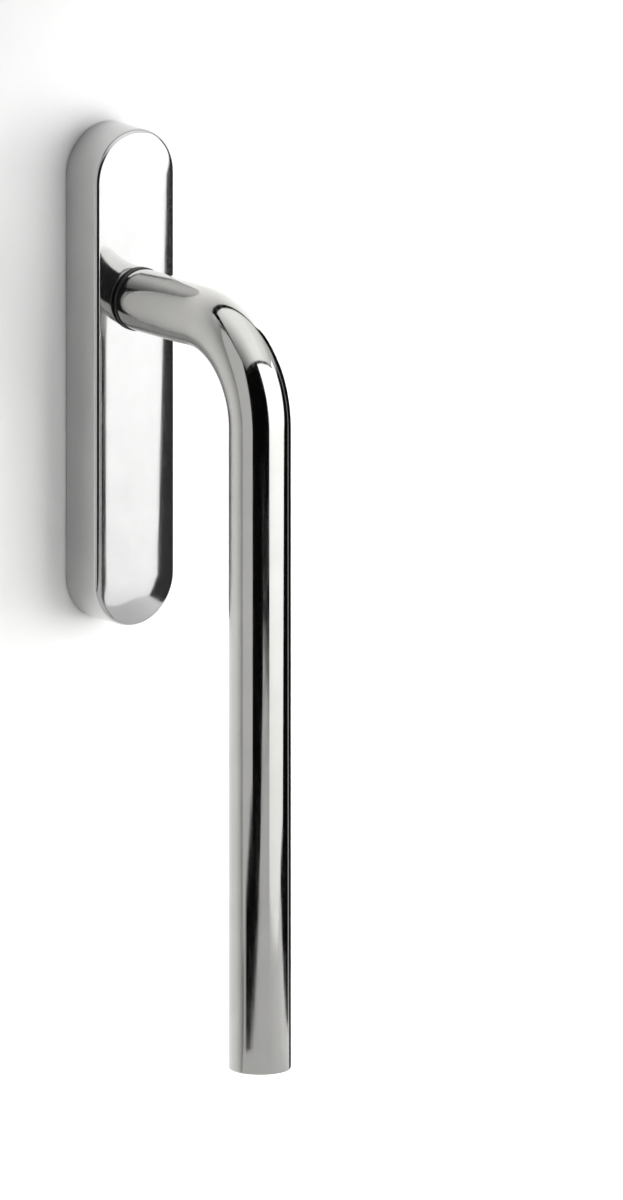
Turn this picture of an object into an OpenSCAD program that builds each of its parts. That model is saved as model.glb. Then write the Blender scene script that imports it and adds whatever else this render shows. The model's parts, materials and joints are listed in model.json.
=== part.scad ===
// Long-plate window handle with a bent round lever. The lever turns on a rotor inside the plate,
// clicks every quarter turn and drives a square spindle that enters the sash.
// Millimetres. Y = 0 is the face of the sash, and the handle stands out towards -Y. Z is up.
// The origin is where the spindle's axis meets the sash.
// A depth, written d, is a distance out from the sash: d = -Y.

/* [Cover plate] */
// Width of the cover plate
plate_w = 32; // [30:0.5:34]
// Height of the cover plate above the spindle
plate_top = 55; // [52:0.5:70]
// Height of the cover plate below the spindle
plate_bottom = 107; // [100:1:130]
// Depth of the cover plate, from the sash to its front face
plate_depth = 17.3; // [17:0.1:19]
// Width of the rounded front edge
plate_edge = 1.4; // [1:0.1:2.5]
// Radius of the crowned face across the plate
crown_r = 78; // [70:1:200]
// Thickness of the cover's side wall
cover_wall = 1.6; // [1:0.1:2]
// Thickness of the cover's front face
cover_face = 1.8; // [1:0.1:2]

/* [Lever] */
// Outer diameter of the lever tube
tube_d = 20; // [18:0.5:22]
// Wall thickness of the lever tube
tube_wall = 2; // [1.5:0.1:3]
// Radius of the bend, at the tube's middle
bend_r = 31; // [26:0.5:40]
// Distance from the sash to the axis of the grip
grip_d = 79; // [70:0.5:90]
// Distance from the spindle's axis down to the free end of the grip
grip_len = 240; // [160:1:300]
// Radius of the rounded edge at the free end
end_r = 0.8; // [0.4:0.1:1.5]
// Depth of the plug in the free end
plug_len = 6; // [3:0.5:10]

/* [Bearing] */
// Diameter of the rotor where it turns in the bush and the glide ring
journal_d = 14; // [13:0.5:14.5]
// Diameter of the rotor's tail
tail_d = 12.4; // [12:0.1:12.8]
// Running clearance on the radius
run_gap = 0.05; // [0.03:0.01:0.09]
// Diameter of the black glide ring under the neck
ring_d = 20.6; // [20:0.1:22]
// Thickness of the glide ring's flange
ring_t = 1.1; // [0.8:0.05:2.5]

/* [Detent] */
// Outer diameter of the cam
cam_d = 16; // [15:0.5:16.4]
// Number of stops in a full turn
stops = 4; // [4:1:8]
// Diameter of a detent ball
ball_d = 4; // [3.5:0.1:4.2]
// How far a ball drops into a notch
ball_travel = 0.6; // [0.4:0.1:0.8]
// Turns of a detent spring
spring_turns = 3; // [2:0.5:3.5]
// Wire diameter of a detent spring
spring_wire = 0.4; // [0.3:0.05:0.5]

/* [Fixing] */
// Distance between the two mounting screws
screw_pitch = 43; // [43:0.5:50]
// Diameter of the mounting screws
screw_d = 5; // [4:0.5:5]
// How far the mounting screws reach into the sash
screw_reach = 42; // [25:1:60]
// Diameter of the locating pegs
peg_d = 10; // [8:0.5:12]
// Height of the locating pegs behind the plate
peg_h = 3; // [2:0.5:4]
// Width across the flats of the spindle
spindle_w = 7; // [6:1:7]
// How far the spindle reaches into the sash
spindle_reach = 35; // [20:1:60]

/* [Hidden] */
$fn = 96;
eps = 0.02;

// base plate
base_t = 3;
base_gap = 0.2;
base_bore_r = 7.2;
inner_hw = plate_w / 2 - cover_wall;
inner_top = plate_top - cover_wall;
inner_bottom = plate_bottom - cover_wall;
cavity_d = plate_depth - cover_face;
cavity_flat = 11.5;
cavity_chamfer = 1;

// housing, in order of depth
housing_w = 26.8;
housing_h = 33;
housing_front_d = 14.1;
clip_room_r = 10;
washer_t = 0.4;
washer_gap = 0.2;
web_back_d = 5.4;
web_front_d = 7;
cam_room_r = cam_d / 2 + 0.3;
bush_back_d = 12;
bush_r = 9;
bush_flange_r = 11;
bush_front_d = cavity_d - 0.15;
spigot_gap = 0.1;

// rotor, in order of depth
rotor_back_d = 3.4;
groove_back_d = 3.9;
groove_front_d = 4.95;
groove_r = 5.6;
cam_back_d = 7.1;
cam_front_d = 11.8;
cam_flat = 5.4;
cam_fit = 0.03;
neck_gap = 0.1;
neck_d = plate_depth + ring_t + neck_gap;
spigot_len = 14;
rotor_front_d = neck_d + spigot_len;
tube_bore_r = tube_d / 2 - tube_wall;

// detent
ball_d0 = (cam_back_d + cam_front_d) / 2;
ball_z = cam_d / 2 + ball_d / 2 + run_gap;
ball_bore_r = ball_d / 2 + run_gap;
notch_r = ball_d / 2 + 0.1;
spring_r = ball_bore_r - spring_wire / 2 - 0.2;
spring_z0 = ball_z + sqrt(pow(ball_d / 2 + spring_wire / 2 + 0.03, 2) - spring_r * spring_r);
plug_z0 = 14.2;
plug_z1 = 16.3;
plug_r = 2.5;
spring_z1 = plug_z0 - spring_wire / 2 - 0.02;

// retaining ring, open at the top between two lugs with holes for pliers
clip_r = 8.2;
clip_gap = 0.05;
clip_open_hw = 2.2;
clip_hole_x = 3.6;
clip_hole_z = 5.9;
clip_hole_r = 0.6;

// spindle, pin and grub screws
spindle_hole = spindle_w + 0.1;
spindle_in_lever = 4;
spindle_front_d = neck_d + spindle_in_lever;
spindle_end_gap = 0.5;
pin_r = 1.2;
pin_depth = neck_d + 1.9;
pin_end_gap = 0.3;
neck_grub_d = neck_d + 8.5;
neck_grub_z = 5.6;
grub_r = 2.5;
grub_sink = 0.3;
hex_af_grub = 2.5;
cover_grub_r = 2;
cover_grub_d = 8.5;
hex_af_cover_grub = 2;
cover_grub_room = 12;
tab_z0 = plate_bottom - 8.5;
tab_t = 3.5;
tab_w = 12;
tab_reach = 9;

// screws
peg_seat = 0.8;
peg_seat_step = 0.4;
head_r = 4.65;
hex_af_mounting = 3;
m3_x = 10.6;
m3_z = 13.4;
m3_r = 1.5;
m3_head_r = 2.8;
m3_hole_d = housing_front_d - 2;
m3_tip_d = housing_front_d - 2.5;
hex_af_m3 = 2;
hex_depth_m3 = 1.2;
lower_z = plate_bottom - 20;
lower_r = 1.95;
lower_head_r = 3.8;
lower_reach = 22;
hex_af_lower = 2.5;

// hook on the base plate, and the ledge in the cover that it holds
hook_hw = 5;
hook_z0 = plate_top - 7;
hook_t = 2;
hook_reach = 6.4;
hook_lip_t = 2.4;
hook_lip_h = 2;
ledge_side_gap = 0.5;
ledge_gap = 0.7;
ledge_t = 3;
ledge_front_d = base_t + hook_reach - hook_lip_t - 0.4;
ledge_z0 = hook_z0 + hook_t + ledge_gap;

polished = "#c9c8c4";
steel = "#9fa1a3";
zinc = "#b4b6b8";
black = "#1a1a1b";
nylon = "#e6e3da";

// Turns a shape drawn face on (x to the right, y up, z towards the viewer) to stand out from
// the sash, starting at depth d.
module facing(d)
    translate([0, -d, 0])
        rotate([90, 0, 0])
            children();

// A round bar along the spindle's axis between two depths
module shaft(d0, d1, r)
    facing(d0)
        cylinder(h = d1 - d0, r = r);

module double_d(d0, d1, r, flat)
    facing(d0)
        intersection() {
            cylinder(h = d1 - d0, r = r);
            translate([-flat, -r - 1, -1])
                cube([2 * flat, 2 * r + 2, d1 - d0 + 2]);
        }

// A slab with half-round ends, standing on the sash. Its edge profile is the child, a 2D shape
// in x >= 0 that reaches out to half the slab's width.
module slab(hw, top, bottom) {
    facing(0) {
        translate([0, top - hw, 0])
            rotate_extrude(angle = 180)
                children();
        translate([0, hw - bottom, 0])
            rotate([0, 0, 180])
                rotate_extrude(angle = 180)
                    children();
        for (side = [0, 1])
            mirror([side, 0, 0])
                translate([0, top - hw, 0])
                    rotate([90, 0, 0])
                        linear_extrude(height = top + bottom - 2 * hw)
                            children();
    }
}

// How far the crowned face has fallen at a distance p from the centre line
function face_fall(p) = crown_r - sqrt(crown_r * crown_r - p * p);

// Half of the plate's cross-section: a crowned face that runs smoothly into a rounded edge
module crowned_half(hw, h, edge) {
    n = 14;
    p1 = hw - edge;
    lean = asin(p1 / crown_r);
    r = edge / (1 - sin(lean));
    polygon(concat(
        [[0, 0], [hw, 0]],
        [for (i = [0:n])
            let (a = (90 - lean) * i / n)
            [hw - r + r * cos(a), h - face_fall(p1) + r * (sin(a) - cos(lean))]],
        [for (i = [n - 1:-1:0]) [p1 * i / n, h - face_fall(p1 * i / n)]]));
}

// A countersunk screw pointing into the sash, its head flush at depth d. The shank is waisted
// until the thread starts, a distance thread_from inside the sash.
module countersunk(d, r, head, thread_from, reach, socket_af) {
    cone = head - r;
    difference() {
        union() {
            facing(d - cone)
                cylinder(h = cone, r1 = r, r2 = head);
            shaft(-thread_from - 1, d - cone, 0.88 * r);
            shaft(r - reach, -thread_from, r);
            facing(-reach)
                cylinder(h = r, r1 = 0.3 * r, r2 = r);
        }
        facing(d - 0.55 * head)
            cylinder(h = head, d = socket_af / cos(30), $fn = 6);
    }
}

// The hole for a countersunk screw through a plate whose front is at depth d
module countersink(d, r, head) {
    facing(-1)
        cylinder(h = d + 2, r = r);
    facing(d - (head - r))
        cylinder(h = head - r + eps, r1 = r, r2 = head + eps);
}

// A headless screw along Z with a hex socket in its lower end
module grub(z0, z1, r, socket_af)
    difference() {
        translate([0, 0, z0])
            cylinder(h = z1 - z0, r = r);
        translate([0, 0, z0 - 1])
            cylinder(h = 1 + 0.5 * (z1 - z0), d = socket_af / cos(30), $fn = 6);
    }

// Both mounting screw positions
module at_screws()
    for (side = [-1, 1])
        translate([0, 0, side * screw_pitch / 2])
            children();

// Points of a round wire coiled about Z: turns * 20 rings of 8 points
function coil_ring(a, z, r, wire) = [for (k = [0:7])
    let (w = 45 * k, rr = r + wire / 2 * cos(w))
    [rr * cos(a), rr * sin(a), z + wire / 2 * sin(w)]];

module coil(z0, z1, r, wire, turns) {
    steps = turns * 20;
    pts = [for (i = [0:steps]) each coil_ring(18 * i, z0 + (z1 - z0) * i / steps, r, wire)];
    polyhedron(pts, concat(
        [[for (k = [0:7]) k]],
        [for (i = [0:steps - 1], k = [0:7])
            [8 * i + k, 8 * i + 8 + k, 8 * i + 8 + (k + 1) % 8, 8 * i + (k + 1) % 8]],
        [[for (k = [7:-1:0]) 8 * steps + k]]));
}

module cover_plate()
    color(polished) {
        difference() {
            slab(plate_w / 2, plate_top, plate_bottom)
                crowned_half(plate_w / 2, plate_depth, plate_edge);
            translate([0, eps, 0])
                slab(inner_hw, inner_top, inner_bottom)
                    polygon([[0, 0], [inner_hw, 0], [inner_hw, cavity_d + eps - cavity_chamfer],
                        [cavity_flat, cavity_d + eps], [0, cavity_d + eps]]);
            shaft(cavity_d - 1, plate_depth + 1, bush_r);
            translate([0, -cover_grub_d, -plate_bottom - 1])
                cylinder(h = cover_wall + 2, r = cover_grub_r + 0.1);
        }
        // ledge that the base plate's hook holds
        intersection() {
            slab(inner_hw + 0.5, inner_top + 0.5, inner_bottom + 0.5)
                square([inner_hw + 0.5, cavity_d]);
            translate([ledge_side_gap - hook_hw, -ledge_front_d, ledge_z0])
                cube([2 * (hook_hw - ledge_side_gap), ledge_t, inner_top + 1 - ledge_z0]);
        }
    }

module base_plate()
    color(zinc)
        difference() {
            union() {
                slab(inner_hw - base_gap, inner_top - base_gap, inner_bottom - base_gap)
                    square([inner_hw - base_gap, base_t]);
                // tab that carries the cover's grub screw
                translate([-tab_w / 2, -base_t - tab_reach, -tab_z0 - tab_t])
                    cube([tab_w, tab_reach + 1, tab_t]);
                // hook that holds the cover's top
                translate([-hook_hw, -base_t - hook_reach, hook_z0])
                    cube([2 * hook_hw, hook_reach + 1, hook_t]);
                translate([-hook_hw, -base_t - hook_reach, hook_z0])
                    cube([2 * hook_hw, hook_lip_t, hook_t + hook_lip_h]);
            }
            shaft(-1, base_t + 1, base_bore_r);
            at_screws() {
                countersink(base_t, screw_d / 2 + 0.25, head_r + 0.1);
                shaft(-1, peg_seat, peg_d / 2 + 0.05);
            }
            translate([0, 0, -lower_z])
                countersink(base_t, lower_r + 0.15, lower_head_r + 0.1);
            for (x = [-m3_x, m3_x], z = [-m3_z, m3_z])
                translate([x, 0, z]) {
                    shaft(-1, base_t + 1, m3_r + 0.1);
                    facing(-eps)
                        cylinder(h = m3_head_r - m3_r, r1 = m3_head_r + 0.1, r2 = m3_r + 0.1);
                }
            translate([0, -cover_grub_d, -plate_bottom])
                cylinder(h = cover_grub_room, r = cover_grub_r);
        }

module detent_housing()
    color(zinc)
        difference() {
            facing(base_t)
                linear_extrude(height = housing_front_d - base_t)
                    square([housing_w, housing_h], center = true);
            shaft(base_t - 1, web_back_d, clip_room_r);
            shaft(base_t, housing_front_d, tail_d / 2 + run_gap);
            shaft(web_front_d, housing_front_d, cam_room_r);
            shaft(bush_back_d, housing_front_d + 1, bush_r);
            translate([0, -ball_d0, -plug_z0])
                cylinder(h = 2 * plug_z0, r = ball_bore_r);
            for (side = [0, 1])
                mirror([0, 0, side])
                    translate([0, -ball_d0, plug_z0])
                        cylinder(h = housing_h, r = plug_r);
            for (x = [-m3_x, m3_x], z = [-m3_z, m3_z])
                translate([x, 0, z])
                    shaft(base_t - 1, m3_hole_d, m3_r);
        }

module housing_screws()
    color(steel)
        for (x = [-m3_x, m3_x], z = [-m3_z, m3_z])
            translate([x, 0, z])
                difference() {
                    union() {
                        shaft(m3_head_r - m3_r, m3_tip_d, m3_r);
                        facing(0)
                            cylinder(h = m3_head_r - m3_r, r1 = m3_head_r, r2 = m3_r);
                    }
                    facing(-1)
                        cylinder(h = 1 + hex_depth_m3, d = hex_af_m3 / cos(30), $fn = 6);
                }

module front_bush()
    color(nylon)
        difference() {
            union() {
                shaft(bush_back_d, housing_front_d, bush_r - 0.02);
                shaft(housing_front_d, bush_front_d, bush_flange_r);
            }
            shaft(bush_back_d - 1, bush_front_d + 1, journal_d / 2 + run_gap);
        }

module glide_ring()
    color(black)
        difference() {
            union() {
                shaft(cavity_d, plate_depth, bush_r - spigot_gap);
                shaft(plate_depth, plate_depth + ring_t, ring_d / 2);
            }
            shaft(cavity_d - 1, plate_depth + ring_t + 1, journal_d / 2 + run_gap);
        }

module wave_washer()
    color(steel)
        difference() {
            shaft(web_back_d - washer_t, web_back_d, clip_room_r - 2 * washer_gap);
            shaft(web_back_d - 1, web_back_d + 1, tail_d / 2 + washer_gap);
        }

module detent_spring()
    color(steel)
        translate([0, -ball_d0, 0])
            coil(spring_z0, spring_z1, spring_r, spring_wire, spring_turns);

module detent_spring_top()
    detent_spring();

module detent_spring_bottom()
    mirror([0, 0, 1])
        detent_spring();

module spring_plugs()
    color(steel)
        for (side = [0, 1])
            mirror([0, 0, side])
                translate([0, -ball_d0, 0])
                    mirror([0, 0, 1])
                        grub(-plug_z1, -plug_z0, plug_r, hex_af_grub);

module mounting_screws()
    color(steel)
        at_screws()
            countersunk(base_t, screw_d / 2, head_r, peg_h + 1, screw_reach, hex_af_mounting);

module locating_pegs()
    color(nylon)
        at_screws()
            difference() {
                union() {
                    shaft(-peg_h, 0, peg_d / 2);
                    shaft(-1, peg_seat, peg_d / 2 - peg_seat_step);
                }
                shaft(-peg_h - 1, 2, screw_d / 2 + 0.1);
            }

module lower_fixing_screw()
    color(steel)
        translate([0, 0, -lower_z])
            countersunk(base_t, lower_r, lower_head_r, 1, lower_reach, hex_af_lower);

module cover_grub_screw()
    color(steel)
        translate([0, -cover_grub_d, 0])
            grub(grub_sink - plate_bottom, -tab_z0, cover_grub_r, hex_af_cover_grub);

module detent_ball()
    color(steel)
        translate([0, -ball_d0, ball_z])
            sphere(d = ball_d);

module detent_ball_top()
    detent_ball();

module detent_ball_bottom()
    mirror([0, 0, 1])
        detent_ball();

// The lever's outline and, with a smaller radius, its bore
module lever_bar(r, extra) {
    shaft(neck_d - extra, grip_d - bend_r, r);
    translate([0, bend_r - grip_d, -bend_r])
        rotate([90, 0, -90])
            rotate_extrude(angle = 90)
                translate([bend_r, 0])
                    circle(r = r);
    translate([0, -grip_d, -grip_len - extra])
        cylinder(h = grip_len - bend_r + extra, r = r);
}

// Cuts the rounded edge around the free end
module end_round()
    translate([0, -grip_d, -grip_len])
        difference() {
            translate([0, 0, -1])
                cylinder(h = end_r + 1, r = tube_d / 2 + 1);
            translate([0, 0, -2])
                cylinder(h = end_r + 3, r = tube_d / 2 - end_r);
            rotate_extrude()
                translate([tube_d / 2 - end_r, end_r])
                    circle(r = end_r);
        }

module grip_tube()
    color(polished)
        difference() {
            lever_bar(tube_d / 2, 0);
            lever_bar(tube_bore_r, 1);
            end_round();
            translate([0, -neck_grub_d, -tube_d])
                cylinder(h = tube_d, r = grub_r);
        }

module grip_end_plug()
    color(polished)
        translate([0, -grip_d, -grip_len])
            cylinder(h = plug_len, r = tube_bore_r);

module rotor_spigot()
    color(steel)
        difference() {
            union() {
                shaft(rotor_back_d, groove_back_d, tail_d / 2);
                shaft(rotor_back_d, web_front_d, groove_r);
                shaft(groove_front_d, web_front_d, tail_d / 2);
                double_d(web_front_d, cam_front_d, tail_d / 2, cam_flat);
                shaft(cam_front_d, neck_d, journal_d / 2);
                shaft(neck_d, rotor_front_d, tube_bore_r);
            }
            facing(rotor_back_d - 1)
                linear_extrude(height = spindle_front_d + spindle_end_gap - rotor_back_d + 1)
                    square(spindle_hole, center = true);
            translate([0, -pin_depth, 0])
                rotate([0, 90, 0])
                    cylinder(h = tube_d, r = pin_r, center = true);
            translate([0, -neck_grub_d, -tube_d])
                cylinder(h = tube_d - neck_grub_z + eps, r = grub_r);
        }

module detent_cam()
    color(steel)
        difference() {
            shaft(cam_back_d, cam_front_d, cam_d / 2);
            double_d(cam_back_d - 1, cam_front_d + 1, tail_d / 2 + cam_fit, cam_flat + cam_fit);
            for (i = [0:stops - 1])
                rotate([0, 360 * i / stops, 0])
                    translate([0, 0, ball_z - ball_travel])
                        shaft(cam_back_d - 1, cam_front_d + 1, notch_r);
        }

module retaining_ring()
    color(steel)
        difference() {
            shaft(groove_back_d + clip_gap, groove_front_d - clip_gap, clip_r);
            shaft(groove_back_d - 1, groove_front_d + 1, groove_r + 0.5 * clip_gap);
            facing(groove_back_d - 1)
                translate([-clip_open_hw, 0, 0])
                    cube([2 * clip_open_hw, clip_r + 1, groove_front_d - groove_back_d + 2]);
            for (side = [-1, 1])
                translate([side * clip_hole_x, 0, clip_hole_z])
                    shaft(groove_back_d - 1, groove_front_d + 1, clip_hole_r);
        }

module spindle()
    color(steel)
        difference() {
            facing(-spindle_reach)
                linear_extrude(height = spindle_reach + spindle_front_d)
                    square(spindle_w, center = true);
            translate([0, -pin_depth, 0])
                rotate([0, 90, 0])
                    cylinder(h = tube_d, r = pin_r, center = true);
        }

module spindle_pin()
    color(steel)
        translate([0, -pin_depth, 0])
            rotate([0, 90, 0])
                cylinder(h = 2 * (tube_bore_r - pin_end_gap), r = pin_r, center = true);

module neck_grub_screw()
    color(steel)
        translate([0, -neck_grub_d, 0])
            grub(grub_sink - tube_d / 2, -neck_grub_z, grub_r, hex_af_grub);

cover_plate();
base_plate();
detent_housing();
housing_screws();
front_bush();
glide_ring();
wave_washer();
detent_spring_top();
detent_spring_bottom();
spring_plugs();
mounting_screws();
locating_pegs();
lower_fixing_screw();
cover_grub_screw();
detent_ball_top();
detent_ball_bottom();
grip_tube();
grip_end_plug();
rotor_spigot();
detent_cam();
retaining_ring();
spindle();
spindle_pin();
neck_grub_screw();
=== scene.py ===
"""Long-plate window handle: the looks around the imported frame.

Metres. Y = 0 is the sash face, the handle stands out towards -Y, Z is up, and the origin is where
the spindle's axis meets the sash. A direction round the handle is an angle from -Y towards +X.
"""
import json
import math

import bmesh
import bpy
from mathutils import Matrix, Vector


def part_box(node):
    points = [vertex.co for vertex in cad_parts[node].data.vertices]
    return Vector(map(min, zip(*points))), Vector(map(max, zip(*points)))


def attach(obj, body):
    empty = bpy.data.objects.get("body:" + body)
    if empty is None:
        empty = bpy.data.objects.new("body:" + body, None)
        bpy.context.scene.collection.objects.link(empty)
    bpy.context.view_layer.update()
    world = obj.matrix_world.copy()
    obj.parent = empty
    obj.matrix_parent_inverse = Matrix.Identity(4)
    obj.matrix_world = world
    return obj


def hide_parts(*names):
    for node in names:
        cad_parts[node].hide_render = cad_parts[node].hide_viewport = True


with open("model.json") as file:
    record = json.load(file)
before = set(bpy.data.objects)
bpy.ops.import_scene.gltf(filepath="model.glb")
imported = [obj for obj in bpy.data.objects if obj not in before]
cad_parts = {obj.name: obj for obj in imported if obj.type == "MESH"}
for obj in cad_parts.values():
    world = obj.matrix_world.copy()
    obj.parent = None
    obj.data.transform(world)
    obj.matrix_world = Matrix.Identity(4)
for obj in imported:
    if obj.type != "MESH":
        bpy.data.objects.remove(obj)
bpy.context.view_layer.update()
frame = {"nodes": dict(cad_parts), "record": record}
scene = bpy.context.scene
MM = 0.001

# ---------------------------------------------------------------- sizes, from the frame
COVER_LO, COVER_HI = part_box("cover_plate")
GRIP_LO, GRIP_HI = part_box("grip_tube")
RING_LO, RING_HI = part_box("glide_ring")
PLUG_LO, PLUG_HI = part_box("grip_end_plug")

PLATE_HALF = COVER_HI.x
PLATE_DEPTH = -COVER_LO.y
PLATE_TOP = COVER_HI.z
PLATE_BOTTOM = -COVER_LO.z
TUBE_R = GRIP_HI.x
BORE_R = PLUG_HI.x
GRIP_Y = GRIP_LO.y + TUBE_R
NECK_Y = GRIP_HI.y
GRIP_END_Z = GRIP_LO.z

# details that a box doesn't give, as the CAD has them
BEND_R = 31 * MM
PLATE_EDGE = 1.4 * MM
CROWN_R = 78 * MM
COVER_WALL = 1.6 * MM
COVER_FACE = 1.8 * MM
CEILING_FLAT = 11.5 * MM
CEILING_CHAMFER = 1 * MM
FACE_HOLE_R = 9 * MM
GRUB_HOLE_R = 2.1 * MM
GRUB_HOLE_Y = -8.5 * MM
END_ROUND = 0.8 * MM
NECK_GRUB_R = 2.5 * MM
NECK_GRUB_Y = NECK_Y - 8.5 * MM
JOURNAL_R = 7.05 * MM
HEAD_DEPTH = 3 * MM
PEG_BORE_R = 2.6 * MM
PEG_SEAT_STEP = 0.4 * MM

# joins closer than this become one point of a mesh
WELD = 0.0005 * MM

# ---------------------------------------------------------------- the picture
VIEW_AZIMUTH = math.radians(-38.5)
VIEW_ELEVATION = math.radians(13)
VIEW_HEIGHT = 381.6 * MM
# how far right of and above the origin the picture's middle is, across the line of sight
VIEW_RIGHT = 65.7 * MM
VIEW_UP = -98.8 * MM
VIEW_DISTANCE = 1.5
CLIP_NEAR, CLIP_FAR = 0.05, 10


def add_camera():
    sa, ca = math.sin(VIEW_AZIMUTH), math.cos(VIEW_AZIMUTH)
    se, ce = math.sin(VIEW_ELEVATION), math.cos(VIEW_ELEVATION)
    towards = Vector((sa * ce, -ca * ce, se))
    right = Vector((ca, sa, 0))
    up = towards.cross(right)
    data = bpy.data.cameras.new("camera")
    data.type = "ORTHO"
    data.ortho_scale = VIEW_HEIGHT
    data.clip_start = CLIP_NEAR
    data.clip_end = CLIP_FAR
    camera = bpy.data.objects.new("camera", data)
    scene.collection.objects.link(camera)
    camera.location = towards * VIEW_DISTANCE + right * VIEW_RIGHT + up * VIEW_UP
    camera.rotation_euler = towards.to_track_quat("Z", "Y").to_euler()
    scene.camera = camera


# ---------------------------------------------------------------- mesh helpers
def add_object(name, verts, faces, smooth_angle=35):
    """A mesh object with outward normals; edges sharper than smooth_angle degrees stay sharp."""
    mesh = bpy.data.meshes.new(name)
    mesh.from_pydata([tuple(v) for v in verts], [], faces)
    bm = bmesh.new()
    bm.from_mesh(mesh)
    bmesh.ops.remove_doubles(bm, verts=bm.verts, dist=WELD)
    bmesh.ops.recalc_face_normals(bm, faces=bm.faces)
    bm.to_mesh(mesh)
    bm.free()
    mesh.polygons.foreach_set("use_smooth", [True] * len(mesh.polygons))
    mesh.set_sharp_from_angle(angle=math.radians(smooth_angle))
    obj = bpy.data.objects.new(name, mesh)
    scene.collection.objects.link(obj)
    return obj


def loft(name, rings, closed=False, capped=False, smooth_angle=35):
    """A skin over rings of equal length. closed joins the last ring to the first."""
    count = len(rings[0])
    verts = [p for ring in rings for p in ring]
    faces = []
    spans = len(rings) if closed else len(rings) - 1
    for i in range(spans):
        a = i * count
        b = (i + 1) % len(rings) * count
        for k in range(count):
            n = (k + 1) % count
            faces.append((a + k, a + n, b + n, b + k))
    if capped:
        faces.append(tuple(range(count)))
        faces.append(tuple(range((len(rings) - 1) * count, len(rings) * count)))
    return add_object(name, verts, faces, smooth_angle)


def lathe(name, profile, at=(0, 0, 0), segments=96, closed=True, smooth_angle=35):
    """Turns a profile of (radius, y) about the Y axis through a point."""
    rings = []
    for radius, y in profile:
        ring = []
        for k in range(segments):
            a = 2 * math.pi * k / segments
            ring.append((at[0] + radius * math.cos(a), at[1] + y, at[2] + radius * math.sin(a)))
        rings.append(ring)
    return loft(name, rings, closed=closed, smooth_angle=smooth_angle)


def arc(cx, cy, radius, start, end, steps):
    """Points on an arc; angles in degrees."""
    points = []
    for i in range(steps + 1):
        a = math.radians(start + (end - start) * i / steps)
        points.append((cx + radius * math.cos(a), cy + radius * math.sin(a)))
    return points


def prism(name, radius, sides, low, high, axis, at):
    """A straight bar with a regular outline, used to cut holes."""
    rings = []
    for level in (low, high):
        ring = []
        for k in range(sides):
            a = 2 * math.pi * k / sides
            c, s = radius * math.cos(a), radius * math.sin(a)
            if axis == "Y":
                ring.append((at[0] + c, level, at[2] + s))
            elif axis == "X":
                ring.append((level, at[1] + c, at[2] + s))
            else:
                ring.append((at[0] + c, at[1] + s, level))
        rings.append(ring)
    return loft(name, rings, capped=True)


def carve(obj, cutter, smooth_angle=35):
    """Cuts one object's shape out of another's mesh."""
    cut = obj.modifiers.new("cut", "BOOLEAN")
    cut.operation = "DIFFERENCE"
    cut.solver = "EXACT"
    cut.object = cutter
    depsgraph = bpy.context.evaluated_depsgraph_get()
    mesh = bpy.data.meshes.new_from_object(obj.evaluated_get(depsgraph))
    obj.modifiers.clear()
    obj.data = mesh
    bpy.data.objects.remove(cutter)
    mesh.set_sharp_from_angle(angle=math.radians(smooth_angle))


def join(name, parts):
    """One mesh out of several closed shells."""
    bm = bmesh.new()
    for part in parts:
        bm.from_mesh(part.data)
    mesh = bpy.data.meshes.new(name)
    bm.to_mesh(mesh)
    bm.free()
    for part in parts:
        bpy.data.objects.remove(part)
    mesh.set_sharp_from_angle(angle=math.radians(35))
    obj = bpy.data.objects.new(name, mesh)
    scene.collection.objects.link(obj)
    return obj


# ---------------------------------------------------------------- material helpers
class Nodes:
    """A material's node tree, with short calls to fill it."""

    def __init__(self, name):
        self.material = bpy.data.materials.new(name)
        self.material.use_nodes = True
        self.tree = self.material.node_tree
        self.shader = self.tree.nodes["Principled BSDF"]
        self.coords = self.tree.nodes.new("ShaderNodeTexCoord").outputs["Object"]

    def set(self, **values):
        for key, value in values.items():
            self.shader.inputs[key.replace("_", " ")].default_value = value

    def link(self, a, b):
        self.tree.links.new(a, b)

    def scaled(self, x, y, z):
        """Coordinates stretched along each axis."""
        node = self.tree.nodes.new("ShaderNodeMapping")
        node.inputs["Scale"].default_value = (x, y, z)
        self.link(self.coords, node.inputs["Vector"])
        return node.outputs["Vector"]

    def noise(self, scale, detail=2.0, roughness=0.5, coords=None):
        node = self.tree.nodes.new("ShaderNodeTexNoise")
        node.inputs["Scale"].default_value = scale
        node.inputs["Detail"].default_value = detail
        node.inputs["Roughness"].default_value = roughness
        self.link(coords if coords is not None else self.coords, node.inputs["Vector"])
        return node.outputs["Fac"]

    def remap(self, value, low, high, start=0.0, end=1.0):
        """Turns start..end of a value into low..high."""
        node = self.tree.nodes.new("ShaderNodeMapRange")
        node.inputs["From Min"].default_value = start
        node.inputs["From Max"].default_value = end
        node.inputs["To Min"].default_value = low
        node.inputs["To Max"].default_value = high
        self.link(value, node.inputs["Value"])
        return node.outputs["Result"]

    def ramp(self, value, colours):
        """Colours placed at positions along a value."""
        node = self.tree.nodes.new("ShaderNodeValToRGB")
        elements = node.color_ramp.elements
        while len(elements) < len(colours):
            elements.new(0.5)
        for element, (position, colour) in zip(elements, colours):
            element.position = position
            element.color = (*colour, 1)
        self.link(value, node.inputs["Fac"])
        return node.outputs["Color"]

    def bump(self, height, distance, strength=1.0, under=None):
        node = self.tree.nodes.new("ShaderNodeBump")
        node.inputs["Distance"].default_value = distance
        node.inputs["Strength"].default_value = strength
        self.link(height, node.inputs["Height"])
        if under is not None:
            self.link(under, node.inputs["Normal"])
        return node.outputs["Normal"]


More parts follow.
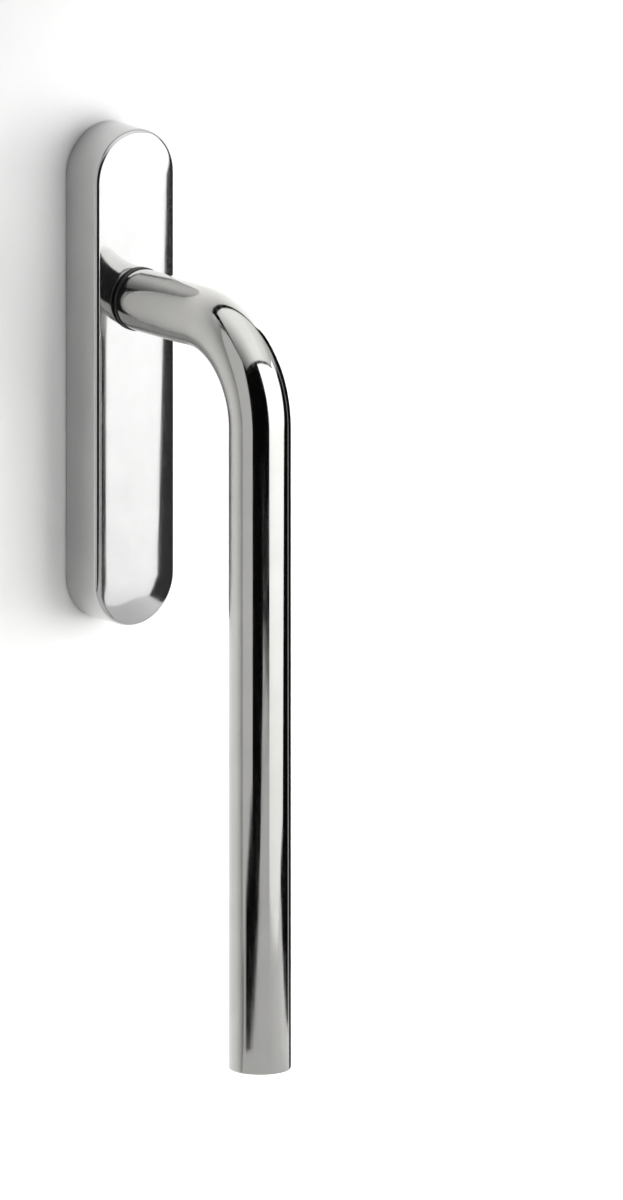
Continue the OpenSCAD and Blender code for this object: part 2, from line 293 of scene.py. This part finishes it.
def polished_steel(name, colour, line_coords, wave, rough, veil=0.0):
    """Mirror-polished stainless steel: fine polishing lines, a faint wave and hazy patches.
    line_coords stretches the lines; wave is the height of the wave that polishing leaves, rough
    is the least and greatest roughness, and veil is the share of a pale film over the mirror."""
    n = Nodes(name)
    n.set(Metallic=1.0 - veil)
    haze = n.noise(60, 3.0, 0.6)
    lines = n.noise(1.0, 2.0, 0.6, n.scaled(*line_coords))
    darker = tuple(0.96 * c for c in colour)
    paler = tuple(1.03 * c for c in colour)
    n.link(n.ramp(haze, [(0.3, darker), (0.7, paler)]), n.shader.inputs["Base Color"])
    n.link(n.remap(lines, *rough, 0.3, 0.75), n.shader.inputs["Roughness"])
    swell = n.bump(n.noise(45, 1.0), wave)
    n.link(n.bump(lines, 0.0006 * MM, 1.0, swell), n.shader.inputs["Normal"])
    return n.material


def plated_steel(name):
    """Bright zinc-plated steel of screws, pins and springs."""
    n = Nodes(name)
    n.set(Metallic=1.0)
    tint = n.noise(180, 3.0, 0.6)
    tints = [(0.3, (0.5, 0.51, 0.53)), (0.55, (0.6, 0.61, 0.62)), (0.75, (0.63, 0.62, 0.57))]
    n.link(n.ramp(tint, tints), n.shader.inputs["Base Color"])
    n.link(n.remap(n.noise(900, 2.0), 0.2, 0.38), n.shader.inputs["Roughness"])
    n.link(n.bump(n.noise(2500, 2.0), 0.01 * MM), n.shader.inputs["Normal"])
    return n.material


def drawn_steel(name):
    """The spindle's cold-drawn bar, with long draw lines."""
    n = Nodes(name)
    n.set(Metallic=1.0)
    lines = n.noise(1.0, 3.0, 0.6, n.scaled(3500, 60, 3500))
    n.link(n.ramp(lines, [(0.35, (0.42, 0.425, 0.43)), (0.65, (0.58, 0.585, 0.59))]),
           n.shader.inputs["Base Color"])
    n.link(n.remap(lines, 0.25, 0.42), n.shader.inputs["Roughness"])
    n.link(n.bump(lines, 0.012 * MM), n.shader.inputs["Normal"])
    return n.material


def cast_zinc(name):
    """Die-cast zinc with a grained skin and soft flow marks."""
    n = Nodes(name)
    n.set(Metallic=1.0)
    flow = n.noise(70, 4.0, 0.6, n.scaled(1.0, 1.0, 0.35))
    n.link(n.ramp(flow, [(0.3, (0.44, 0.45, 0.46)), (0.7, (0.6, 0.605, 0.61))]),
           n.shader.inputs["Base Color"])
    n.link(n.remap(flow, 0.34, 0.5), n.shader.inputs["Roughness"])
    pits = n.bump(n.noise(1600, 3.0, 0.7), 0.03 * MM)
    n.link(n.bump(n.noise(120, 2.0), 0.05 * MM, 0.6, pits), n.shader.inputs["Normal"])
    return n.material


def black_plastic(name):
    """Turned black acetal: near-black, semi-gloss, with fine tool rings."""
    n = Nodes(name)
    n.set(IOR=1.48)
    n.link(n.ramp(n.noise(400, 2.0), [(0.3, (0.008, 0.008, 0.009)), (0.7, (0.016, 0.016, 0.017))]),
           n.shader.inputs["Base Color"])
    rings = n.noise(1.0, 2.0, 0.5, n.scaled(500, 9000, 500))
    n.link(n.remap(rings, 0.22, 0.4), n.shader.inputs["Roughness"])
    n.link(n.bump(n.noise(3000, 2.0), 0.006 * MM), n.shader.inputs["Normal"])
    return n.material


def nylon(name):
    """Natural nylon, waxy and slightly mottled."""
    n = Nodes(name)
    n.set(IOR=1.53, Subsurface_Weight=0.15, Subsurface_Scale=0.8 * MM)
    mottle = n.noise(260, 3.0, 0.6)
    n.link(n.ramp(mottle, [(0.3, (0.72, 0.69, 0.61)), (0.7, (0.82, 0.8, 0.73))]),
           n.shader.inputs["Base Color"])
    n.link(n.remap(mottle, 0.38, 0.52), n.shader.inputs["Roughness"])
    n.link(n.bump(n.noise(1800, 2.0), 0.01 * MM), n.shader.inputs["Normal"])
    return n.material


def paint(obj, material):
    obj.data.materials.clear()
    obj.data.materials.append(material)


# ---------------------------------------------------------------- the handle's own pieces
def face_fall(p):
    """How far the crowned face has fallen at a distance p from the centre line."""
    return CROWN_R - math.sqrt(CROWN_R ** 2 - p * p)


def cover_profile():
    """(distance from the centre line, depth) round the cover's wall, from the middle of the face,
    over the edge, down the side, and back along the inside."""
    inner = PLATE_HALF - COVER_WALL
    ceiling = PLATE_DEPTH - COVER_FACE
    shoulder = PLATE_HALF - PLATE_EDGE
    lean = math.asin(shoulder / CROWN_R)
    r = PLATE_EDGE / (1 - math.sin(lean))
    top = PLATE_DEPTH - face_fall(shoulder) - r * math.cos(lean)
    steps = 22
    across = [shoulder * i / steps for i in range(steps)]
    points = [(x, PLATE_DEPTH - face_fall(x)) for x in across]
    points += arc(PLATE_HALF - r, top, r, 90 - math.degrees(lean), 0, 14)
    points += [(PLATE_HALF, top * f) for f in (0.75, 0.5, 0.25, 0.05)]
    rim = 0.3 * MM
    points += arc(PLATE_HALF - rim, rim, rim, 0, -90, 4)
    points += [(inner, 0.0), (inner, ceiling - CEILING_CHAMFER), (CEILING_FLAT, ceiling)]
    points += [(CEILING_FLAT * f, ceiling) for f in (0.66, 0.33, 0.0)]
    return points


def stadium(radius, y, half_turn=56, side=44):
    """A loop at one distance from the plate's centre line."""
    high = PLATE_TOP - PLATE_HALF
    low = PLATE_HALF - PLATE_BOTTOM
    loop = []
    for i in range(half_turn):
        a = math.pi * i / half_turn
        loop.append((radius * math.cos(a), y, high + radius * math.sin(a)))
    for i in range(side):
        loop.append((-radius, y, high + (low - high) * i / side))
    for i in range(half_turn):
        a = math.pi * (1 + i / half_turn)
        loop.append((radius * math.cos(a), y, low + radius * math.sin(a)))
    for i in range(side):
        loop.append((radius, y, low + (high - low) * i / side))
    return loop


def add_cover():
    cover = loft("cover_shell", [stadium(p, -d) for p, d in cover_profile()])
    past = 1 * MM
    through = (-PLATE_DEPTH - past, COVER_FACE - PLATE_DEPTH + past)
    carve(cover, prism("hole", FACE_HOLE_R, 96, *through, "Y", (0, 0, 0)))
    below = (-PLATE_BOTTOM - past, COVER_WALL - PLATE_BOTTOM + past)
    carve(cover, prism("hole", GRUB_HOLE_R, 40, *below, "Z", (0, GRUB_HOLE_Y, 0)))
    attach(cover, "base")
    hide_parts("cover_plate")
    return cover


def lever_path():
    """(point on the tube's centre line, direction in which the tube leaves it) along the lever."""
    stations = []
    bend_y = GRIP_Y + BEND_R
    neck = 9
    for i in range(neck):
        stations.append((Vector((0, NECK_Y + (bend_y - NECK_Y) * i / neck, 0)), Vector((0, -1, 0))))
    turns = 60
    for i in range(turns + 1):
        a = 0.5 * math.pi * i / turns
        point = Vector((0, bend_y - BEND_R * math.sin(a), BEND_R * (math.cos(a) - 1)))
        stations.append((point, Vector((0, -math.cos(a), -math.sin(a)))))
    straight = 24
    for i in range(1, straight + 1):
        z = -BEND_R + (GRIP_END_Z + BEND_R) * i / straight
        stations.append((Vector((0, GRIP_Y, z)), Vector((0, 0, -1))))
    return stations


def ring_about(point, along, radius, count=128):
    side = Vector((1, 0, 0))
    other = along.cross(side)
    loop = []
    for k in range(count):
        a = 2 * math.pi * k / count
        loop.append(point + side * (radius * math.cos(a)) + other * (radius * math.sin(a)))
    return loop


def add_lever():
    path = lever_path()
    neck_point, neck_along = path[0]
    end_point, end_along = path[-1]
    corner = 0.35 * MM
    lead = 0.25 * MM
    rings = []
    for inset, back in arc(corner, corner, corner, 270, 180, 4):
        rings.append(ring_about(neck_point + neck_along * back, neck_along, TUBE_R - inset))
    rings += [ring_about(p, t, TUBE_R) for p, t in path[1:-1]]
    for inset, back in arc(END_ROUND, END_ROUND, END_ROUND, 180, 270, 8):
        rings.append(ring_about(end_point - end_along * back, end_along, TUBE_R - inset))
    rings.append(ring_about(end_point, end_along, BORE_R + lead))
    rings.append(ring_about(end_point - end_along * lead, end_along, BORE_R))
    rings += [ring_about(p, t, BORE_R) for p, t in reversed(path[:-1])]
    lever = loft("lever_tube", rings, closed=True)
    past = 1 * MM
    carve(lever, prism("hole", NECK_GRUB_R, 40, -TUBE_R - past, -BORE_R + past, "Z", (0, NECK_GRUB_Y, 0)))
    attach(lever, "handle")
    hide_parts("grip_tube")
    return lever


def add_end_plug():
    """The plug in the grip's free end, flat with a softened rim."""
    length = PLUG_HI.z - PLUG_LO.z
    rim = 0.3 * MM
    slip = 0.03 * MM
    radius = BORE_R - slip
    profile = [(0.0, 0.0), (radius * 0.5, 0.0)]
    profile += [(radius - rim + x, rim + y) for x, y in arc(0, 0, rim, -90, 0, 5)]
    profile += [(radius, length - rim), (radius - rim, length), (0.0, length)]
    turn = [2 * math.pi * k / 96 for k in range(96)]
    rings = [[(r * math.cos(a), GRIP_Y + r * math.sin(a), PLUG_LO.z + z) for a in turn] for r, z in profile]
    plug = loft("end_plug", rings)
    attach(plug, "handle")
    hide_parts("grip_end_plug")
    return plug


def add_glide_ring():
    """Black ring under the neck: a flange with rounded rims on a spigot that fills the face's hole."""
    front = RING_LO.y
    back = RING_HI.y
    step = -PLATE_DEPTH
    outer = RING_HI.x
    slip = 0.1 * MM
    spigot = FACE_HOLE_R - slip
    soft = 0.3 * MM
    profile = [(JOURNAL_R, back), (spigot, back), (spigot, step)]
    profile += [(outer - soft + x, step - soft + y) for x, y in arc(0, 0, soft, 90, 0, 4)]
    profile += [(outer - soft + x, front + soft + y) for x, y in arc(0, 0, soft, 0, -90, 4)]
    profile += [(JOURNAL_R, front)]
    ring = lathe("neck_ring", profile, segments=128)
    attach(ring, "base")
    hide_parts("glide_ring")
    return ring


def thread_height(turn):
    """A rounded V thread: 0 at the root and 1 at the crest, over one pitch."""
    return 1 - abs(2 * (turn % 1.0) - 1)


def add_screw(name, at, head_r, r, thread_from, reach, pitch, socket, point):
    """A countersunk screw into the sash with a real helical thread and a hex socket. at is its x and z,
    socket is the width across the flats, and point is the tip's length."""
    segments = 28
    core = 0.82 * r
    shank = 0.88 * r
    head_y = -HEAD_DEPTH
    soft = 0.15 * MM
    cone = head_r - r
    rows = [(0.0, head_y, 0), (head_r * 0.6, head_y, 0), (head_r - soft, head_y, 0)]
    rows += [(head_r, head_y + soft, 0), (r, head_y + cone, 0), (shank, head_y + cone + 0.1 * MM, 0)]
    rows += [(shank, thread_from - 0.2 * MM, 0)]
    step = pitch / 7
    length = reach - thread_from
    for i in range(int(length / step)):
        y = thread_from + i * step
        left = reach - y
        fade = min(1.0, i * step / pitch, left / point)
        taper = min(1.0, 0.25 + 0.75 * left / point)
        rows.append((core * taper, y, (r - core) * fade))
    rows += [(core * 0.2, reach, 0), (0.0, reach, 0)]
    rings = []
    for radius, y, height in rows:
        ring = []
        for k in range(segments):
            a = 2 * math.pi * k / segments
            out = radius + height * thread_height(y / pitch + k / segments)
            ring.append((at[0] + out * math.cos(a), y, at[1] + out * math.sin(a)))
        rings.append(ring)
    screw = loft(name, rings, smooth_angle=50)
    deep = head_y + 0.45 * head_r
    corner = socket / 2 / math.cos(math.pi / 6)
    carve(screw, prism("socket", corner, 6, head_y - 1 * MM, deep, "Y", (at[0], 0, at[1])), 50)
    return screw


def add_screws():
    low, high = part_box("mounting_screws")
    head_r = high.x
    z = high.z - head_r
    pair = []
    for side, label in ((1, "top"), (-1, "bottom")):
        pair.append(add_screw("screw_" + label, (0, side * z), head_r, r=2.5 * MM, thread_from=4 * MM,
                              reach=high.y, pitch=0.8 * MM, socket=3 * MM, point=2.5 * MM))
    mounting = join("mounting_pair", pair)
    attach(mounting, "base")
    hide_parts("mounting_screws")
    low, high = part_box("lower_fixing_screw")
    lower = add_screw("lower_screw", (0, (low.z + high.z) / 2), high.x, r=1.95 * MM, thread_from=1 * MM,
                      reach=high.y, pitch=1.4 * MM, socket=2.5 * MM, point=5 * MM)
    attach(lower, "base")
    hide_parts("lower_fixing_screw")
    return [mounting, lower]


def add_spindle():
    """Square bar with rolled corners and a chamfered tip, cross-drilled for its pin."""
    low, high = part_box("spindle")
    half = high.x
    corner = 0.55 * MM
    chamfer = 1.1 * MM

    def outline(inset, y):
        loop = []
        flat = half - corner
        for quarter in range(4):
            sx = (1, -1, -1, 1)[quarter]
            sz = (1, 1, -1, -1)[quarter]
            for x, z in arc(0, 0, corner, 90 * quarter, 90 * quarter + 90, 5):
                px, pz = sx * flat + x, sz * flat + z
                loop.append((px * (1 - inset / half), y, pz * (1 - inset / half)))
        return loop

    levels = [(chamfer / 2, low.y), (0, low.y + chamfer / 2), (0, high.y - chamfer), (chamfer, high.y)]
    bar = loft("spindle_bar", [outline(inset, y) for inset, y in levels], capped=True)
    pin_low, pin_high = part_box("spindle_pin")
    hole_r = (pin_high.z - pin_low.z) / 2 + 0.02 * MM
    past = half + 1 * MM
    carve(bar, prism("hole", hole_r, 32, -past, past, "X", (0, (pin_low.y + pin_high.y) / 2, 0)))
    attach(bar, "handle")
    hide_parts("spindle")
    return bar


def add_pegs():
    """Nylon locating pegs: a chamfered nose, a bore for the screw and a seat in the plate."""
    low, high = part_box("locating_pegs")
    radius = high.x
    z = high.z - radius
    seat_y = low.y
    nose = high.y
    bore = PEG_BORE_R
    seat_r = radius - PEG_SEAT_STEP
    lead = 0.5 * MM
    soft = 0.3 * MM
    pair = []
    for side in (1, -1):
        profile = [(bore, seat_y), (seat_r, seat_y), (seat_r, 0.0), (radius, 0.0)]
        profile += [(radius, nose - lead), (radius - lead, nose), (bore + soft, nose), (bore, nose - soft)]
        pair.append(lathe("peg", profile, at=(0, 0, side * z), segments=72))
    pegs = join("locating_pair", pair)
    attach(pegs, "base")
    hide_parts("locating_pegs")
    return pegs


# ---------------------------------------------------------------- the studio, in millimetres
AIM = (0, -50, -50)
WALL_REACH = 1600
WALL_HIGH = 1400
FLOOR_REACH = 6000
FLOOR_Z = -335
# the part of the floor that the steel mirrors, where a glowing sheet paints its lit reflection
FLOOR_LEFT, FLOOR_RIGHT, FLOOR_FRONT = -435, 480, -1040
TENT_TOP = 185
TENT_LEFT, TENT_RIGHT = -355, 730
TENT_FRONT, TENT_BACK = -253, -21
CARD_TOP = 420
SEAM_Z = TENT_TOP + 2
# brightness of the room in front of the wall and behind it
ROOM_DARK = 0.004
ROOM_BEHIND = 0.75


def along(tree, axis, stops):
    """A grey that changes along an axis, white where it is greatest. stops are (place in mm,
    brightness), in order."""
    low, high = stops[0][0], stops[-1][0]
    most = max(value for _, value in stops)
    coords = tree.nodes.new("ShaderNodeTexCoord")
    split = tree.nodes.new("ShaderNodeSeparateXYZ")
    tree.links.new(coords.outputs["Object"], split.inputs["Vector"])
    span = tree.nodes.new("ShaderNodeMapRange")
    span.inputs["From Min"].default_value = low * MM
    span.inputs["From Max"].default_value = high * MM
    tree.links.new(split.outputs[axis], span.inputs["Value"])
    ramp = tree.nodes.new("ShaderNodeValToRGB")
    elements = ramp.color_ramp.elements
    while len(elements) < len(stops):
        elements.new(0.5)
    for element, (place, value) in zip(elements, stops):
        element.position = (place - low) / (high - low)
        element.color = (value / most, value / most, value / most, 1)
    tree.links.new(span.outputs["Result"], ramp.inputs["Fac"])
    return ramp.outputs["Color"]


def one_sided(tree, front):
    """Shows a shader on the front of a sheet and lets light through its back."""
    out = tree.nodes.new("ShaderNodeOutputMaterial")
    clear = tree.nodes.new("ShaderNodeBsdfTransparent")
    mix = tree.nodes.new("ShaderNodeMixShader")
    side = tree.nodes.new("ShaderNodeNewGeometry")
    tree.links.new(side.outputs["Backfacing"], mix.inputs["Fac"])
    tree.links.new(front, mix.inputs[1])
    tree.links.new(clear.outputs["BSDF"], mix.inputs[2])
    tree.links.new(mix.outputs["Shader"], out.inputs["Surface"])


def emission(name, strength):
    """A glowing surface with an even brightness: a soft light's, or a dark sheet's, such as the painted
    shade behind the wall.
    """
    material = bpy.data.materials.new(name)
    material.use_nodes = True
    tree = material.node_tree
    tree.nodes.clear()
    glow = tree.nodes.new("ShaderNodeEmission")
    glow.inputs["Strength"].default_value = strength
    one_sided(tree, glow.outputs["Emission"])
    return material


def graded_emission(name, axis, stops):
    """A glowing surface whose brightness changes along an axis: a soft light's, or the floor's painted
    reflection.
    """
    material = emission(name, max(value for _, value in stops))
    tree = material.node_tree
    glow = next(node for node in tree.nodes if node.type == "EMISSION")
    tree.links.new(along(tree, axis, stops), glow.inputs["Color"])
    return material


def backdrop(name, colour, mirrored=None):
    """Matt paper. mirrored is its brightness along X where the steel mirrors it: painted shade, darker where
    the stops are lower, that only the steel's reflections see.
    """
    material = bpy.data.materials.new(name)
    material.use_nodes = True
    tree = material.node_tree
    tree.nodes.clear()
    paper = tree.nodes.new("ShaderNodeBsdfDiffuse")
    paper.inputs["Color"].default_value = (*colour, 1)
    if mirrored:
        # painted shade: glossy rays see the paper's colour graded along X instead of its own
        shade = along(tree, "X", mirrored)
        pick = tree.nodes.new("ShaderNodeMixRGB")
        paths = tree.nodes.new("ShaderNodeLightPath")
        tree.links.new(paths.outputs["Is Glossy Ray"], pick.inputs["Fac"])
        pick.inputs["Color1"].default_value = (*colour, 1)
        tree.links.new(shade, pick.inputs["Color2"])
        tree.links.new(pick.outputs["Color"], paper.inputs["Color"])
    one_sided(tree, paper.outputs["BSDF"])
    return material


def panel(name, corners, material, towards=AIM, camera=False, glossy=True, diffuse=True, shadow=True):
    """A flat sheet of the studio whose front faces a point."""
    points = [Vector(c) * MM for c in corners]
    mesh = bpy.data.meshes.new(name)
    mesh.from_pydata([tuple(p) for p in points], [], [tuple(range(len(points)))])
    mesh.update()
    middle = sum(points, Vector()) / len(points)
    if mesh.polygons[0].normal.dot(Vector(towards) * MM - middle) < 0:
        mesh.flip_normals()
    mesh.materials.append(material)
    obj = bpy.data.objects.new(name, mesh)
    scene.collection.objects.link(obj)
    obj.visible_camera = camera
    obj.visible_glossy = glossy
    obj.visible_diffuse = diffuse
    obj.visible_shadow = shadow
    return obj


def upright(a, b, low, high):
    """Corners of a vertical rectangle over the floor line from a to b."""
    return [(*a, low), (*b, low), (*b, high), (*a, high)]


def flat(left, right, front, back, z):
    """Corners of a level rectangle."""
    return [(left, back, z), (right, back, z), (right, front, z), (left, front, z)]


def add_wall():
    """White wall behind the handle, open inside the plate's outline so that the back stays in view."""
    inset = 0.8 * MM
    outline = [(x, z) for x, _, z in stadium(PLATE_HALF - inset, 0)]
    # where the part of the wall that the steel mirrors ends, from the floor up
    edge = [(60, FLOOR_Z), (62, -45), (140, -20), (175, 30), (260, 110), (330, TENT_TOP), (330, WALL_HIGH)]
    outer = [(x * MM, z * MM) for x, z in [(-WALL_REACH, WALL_HIGH), (-WALL_REACH, FLOOR_Z)] + edge]
    bm = bmesh.new()
    edges = []
    for loop in (outer, outline):
        verts = [bm.verts.new((x, 0, z)) for x, z in loop]
        for i, v in enumerate(verts):
            edges.append(bm.edges.new((v, verts[(i + 1) % len(verts)])))
    bmesh.ops.triangle_fill(bm, edges=edges, use_beauty=True)
    for face in bm.faces:
        face.normal_update()
        if face.normal.y > 0:
            face.normal_flip()
    mesh = bpy.data.meshes.new("wall")
    bm.to_mesh(mesh)
    bm.free()
    # painted shade: the paper the steel mirrors grows darker towards the left, while the camera sees it
    # evenly white
    mirrored = [(-360, 0.6), (-242, 0.68), (-168, 0.78), (-73, 0.91), (-25, 0.96), (10, 1.0), (330, 1.0)]
    paper = backdrop("wall_paper", (0.95, 0.95, 0.95), mirrored)
    mesh.materials.append(paper)
    wall = bpy.data.objects.new("wall", mesh)
    scene.collection.objects.link(wall)
    # further right the room is dark, so the wall there shows itself to the camera only; in the steel a
    # near-black sheet just behind it paints that shade
    forwards = (0, -1000, 0)
    rest = [(x, 0, z) for x, z in [(WALL_REACH, WALL_HIGH), (WALL_REACH, FLOOR_Z)] + edge]
    panel("wall_right", rest, paper, forwards, camera=True, glossy=False)
    behind = upright((60, 1), (WALL_REACH, 1), FLOOR_Z, WALL_HIGH)
    panel("wall_dark", behind, emission("dark_room", 0.006), forwards, diffuse=False, shadow=False)


def add_floor():
    floor = backdrop("floor_paper", (0.78, 0.775, 0.76))
    whole = flat(-FLOOR_REACH, FLOOR_REACH, -FLOOR_REACH, FLOOR_REACH, FLOOR_Z)
    panel("floor", whole, floor, camera=True, glossy=False)
    # what the steel mirrors of it: a glowing sheet, brighter to the right, is painted light standing in for
    # the lit floor
    stops = [(-430, 0.68), (0, 0.7), (300, 0.82), (480, 1.08)]
    mirrored = flat(FLOOR_LEFT, FLOOR_RIGHT, FLOOR_FRONT, 0, FLOOR_Z)
    panel("floor_mirrored", mirrored, graded_emission("floor_glow", "X", stops), diffuse=False, shadow=False)


def add_lights():
    # tall softbox at the front right: its lower edge rises to the right and its right edge leans out
    key = [(-20, -600, -300), (194, -389, -280), (251, -333, -250), (298, -286, -240),
           (486, -101, 500), (-20, -600, 500)]
    stops = [(-290, 1.3), (-238, 1.45), (-205, 1.58), (-120, 1.86), (100, 2.3)]
    panel("key", key, graded_emission("key_glow", "Z", stops))
    # a tent of diffusers above and to the left, with dark seams where they meet
    left = [(TENT_LEFT, 0, -290), (TENT_LEFT, -48, -265), (TENT_LEFT, -208, -237),
            (TENT_LEFT, TENT_FRONT, -237), (TENT_LEFT, TENT_FRONT, CARD_TOP), (TENT_LEFT, 0, CARD_TOP)]
    panel("left_card", left, emission("left_glow", 0.74), diffuse=False)
    top = [(-60, TENT_BACK, TENT_TOP), (TENT_RIGHT, TENT_BACK, TENT_TOP), (TENT_RIGHT, TENT_FRONT, TENT_TOP),
           (-260, TENT_FRONT, TENT_TOP), (-190, -130, TENT_TOP), (-115, -62, TENT_TOP)]
    stops = [(-260, 0.2), (-170, 0.4), (-120, 0.62), (-66, 0.97), (0, 1.38), (100, 1.47), (160, 1.27),
             (230, 1.2), (370, 0.75), (730, 0.6)]
    panel("overhead", top, graded_emission("overhead_glow", "X", stops), diffuse=False)
    dark = emission("seam_dark", 0.0)
    seam = [(-90, 0, SEAM_Z), (TENT_RIGHT, 0, SEAM_Z), (TENT_RIGHT, TENT_FRONT, SEAM_Z),
            (-274, TENT_FRONT, SEAM_Z), (-203, -124, SEAM_Z), (-128, -52, SEAM_Z)]
    panel("seam", seam, dark)
    front_line = ((TENT_LEFT, TENT_FRONT), (TENT_RIGHT, TENT_FRONT))
    panel("front_seam", upright(*front_line, SEAM_Z - 22, SEAM_Z + 1), dark)
    # light that never shows in the steel: it lifts the wall and throws the soft shadows
    panel("key_fill", key, emission("fill_glow", 2.6), glossy=False)
    side = upright((450, -400), (680, -150), -300, 300)
    panel("side_fill", side, emission("side_glow", 9.6), glossy=False)
    front = upright((-75, -600), (75, -600), -300, 430)
    panel("front_fill", front, emission("front_glow", 5.0), glossy=False)


def add_world():
    """White to the camera, dark in front of the wall and pale behind it for everything else."""
    world = bpy.data.worlds.new("studio")
    scene.world = world
    world.use_nodes = True
    tree = world.node_tree
    tree.nodes.clear()
    out = tree.nodes.new("ShaderNodeOutputWorld")
    sky = tree.nodes.new("ShaderNodeBackground")
    coords = tree.nodes.new("ShaderNodeTexCoord")
    split = tree.nodes.new("ShaderNodeSeparateXYZ")
    span = tree.nodes.new("ShaderNodeMapRange")
    span.inputs["From Min"].default_value = -0.05
    span.inputs["From Max"].default_value = 0.05
    span.inputs["To Min"].default_value = ROOM_DARK
    span.inputs["To Max"].default_value = ROOM_BEHIND
    paths = tree.nodes.new("ShaderNodeLightPath")
    white = tree.nodes.new("ShaderNodeBackground")
    white.inputs["Strength"].default_value = 1.0
    white.inputs["Color"].default_value = (1, 1, 1, 1)
    mix = tree.nodes.new("ShaderNodeMixShader")
    tree.links.new(coords.outputs["Generated"], split.inputs["Vector"])
    tree.links.new(split.outputs["Y"], span.inputs["Value"])
    tree.links.new(span.outputs["Result"], sky.inputs["Strength"])
    tree.links.new(paths.outputs["Is Camera Ray"], mix.inputs["Fac"])
    tree.links.new(sky.outputs["Background"], mix.inputs[1])
    tree.links.new(white.outputs["Background"], mix.inputs[2])
    tree.links.new(mix.outputs["Shader"], out.inputs["Surface"])


# ---------------------------------------------------------------- put it together
add_camera()
add_world()
add_wall()
add_floor()
add_lights()
scene.view_settings.view_transform = "Standard"

NEUTRAL_STEEL = (0.53, 0.53, 0.528)
WARM_STEEL = (0.53, 0.527, 0.51)
face_steel = polished_steel("cover_polish", NEUTRAL_STEEL, line_coords=(2600, 2600, 90), wave=0.01 * MM,
                            rough=(0.05, 0.12), veil=0.04)
tube_steel = polished_steel("lever_polish", WARM_STEEL, line_coords=(900, 900, 70), wave=0.003 * MM,
                            rough=(0.05, 0.13))
plug_steel = polished_steel("plug_polish", WARM_STEEL, line_coords=(1500, 1500, 1500), wave=0.001 * MM,
                            rough=(0.05, 0.13))
plated = plated_steel("plated_steel")
zinc = cast_zinc("cast_zinc")
black = black_plastic("black_acetal")
white_nylon = nylon("natural_nylon")
drawn = drawn_steel("drawn_steel")

paint(add_cover(), face_steel)
paint(add_lever(), tube_steel)
paint(add_end_plug(), plug_steel)
paint(add_glide_ring(), black)
paint(add_spindle(), drawn)
paint(add_pegs(), white_nylon)
for screw in add_screws():
    paint(screw, plated)

SLOT_MATERIAL = {"polished_steel": face_steel, "steel": plated, "zinc": zinc,
                 "black_plastic": black, "nylon": white_nylon}
for part in frame["record"]["subparts"]:
    paint(frame["nodes"][part["node"]], SLOT_MATERIAL[part["material_slot"]])
